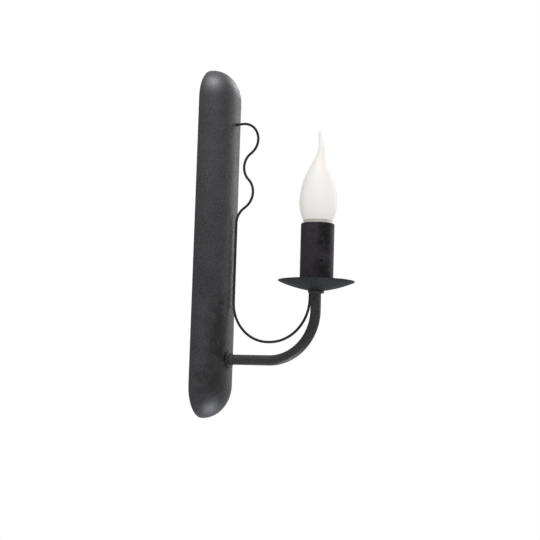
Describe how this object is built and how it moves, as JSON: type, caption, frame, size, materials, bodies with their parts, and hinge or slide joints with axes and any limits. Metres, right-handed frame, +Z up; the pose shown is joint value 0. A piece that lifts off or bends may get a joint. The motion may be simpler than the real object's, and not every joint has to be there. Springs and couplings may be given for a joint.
{
  "type": "wall sconce",
  "caption": "Torch-shaped wall sconce: half-round steel plate, bent arm, drip pan, candle sleeve, flame bulb and a waved scroll wire.",
  "frame": {"origin": "middle of the plate's open back on the wall, halfway between the two keyholes", "axes": "+Z up along the plate's length, +Y into the wall, the arm and the candle stand out towards -Y"},
  "size_m": [0.073, 0.1565, 0.35],
  "materials": {
    "plate_black": "fine-grained black powder coat",
    "tube_black": "black powder coat on tube",
    "wire_black": "black powder coat on wire",
    "pan_black": "black powder coat on spun sheet",
    "sleeve_black": "matt black paint",
    "black_screw": "blackened steel screw",
    "zinc_steel": "zinc-plated steel",
    "brass": "plain brass",
    "natural_nylon": "natural white nylon",
    "holder_plastic": "black moulded lampholder plastic",
    "brown_insulation": "brown lead insulation",
    "blue_insulation": "blue lead insulation",
    "frosted_glass": "white frosted glass",
    "bulb_plastic": "warm grey-white collar plastic",
    "nickel_cap": "nickel-plated cap",
    "black_glass": "black glass insulator",
    "board_white": "white-coated aluminium board",
    "led_yellow": "phosphor-coated light sources",
    "board_green": "green circuit board"
  },
  "bodies": {
    "sconce": {"wall_plate": "plate_black", "upper_hanger_bar": "zinc_steel", "lower_hanger_bar": "zinc_steel", "terminal_deck": "zinc_steel", "terminal_block": "natural_nylon", "terminal_clamps": "brass", "terminal_screws": "zinc_steel", "block_screw": "zinc_steel", "earth_screw": "brass", "earth_washer": "brass", "earth_nut": "brass", "arm_tube": "tube_black", "arm_washer": "tube_black", "arm_lock_washer": "zinc_steel", "arm_nut": "zinc_steel", "wire_bush": "natural_nylon", "scroll_wire": "wire_black", "live_lead": "brown_insulation", "neutral_lead": "blue_insulation", "pan_collar": "tube_black", "drip_pan": "pan_black", "pan_nut": "zinc_steel", "candle_sleeve": "sleeve_black", "sleeve_screw": "black_screw", "holder_body": "holder_plastic", "holder_core": "holder_plastic", "screw_shell": "brass", "centre_contact": "brass", "holder_terminals": "brass", "holder_terminal_screws": "zinc_steel"},
    "bulb": {"bulb_glass": "frosted_glass", "bulb_collar": "bulb_plastic", "bulb_cap": "nickel_cap", "bulb_insulator": "black_glass", "bulb_contact": "nickel_cap", "led_board": "board_white", "led_chips": "led_yellow", "driver_board": "board_green"}
  },
  "joints": [
    {"name": "bulb_lift", "type": "slide", "parent": "sconce", "child": "bulb", "axis": [0, 0, 1], "range_m": [0, 0.04]}
  ]
}
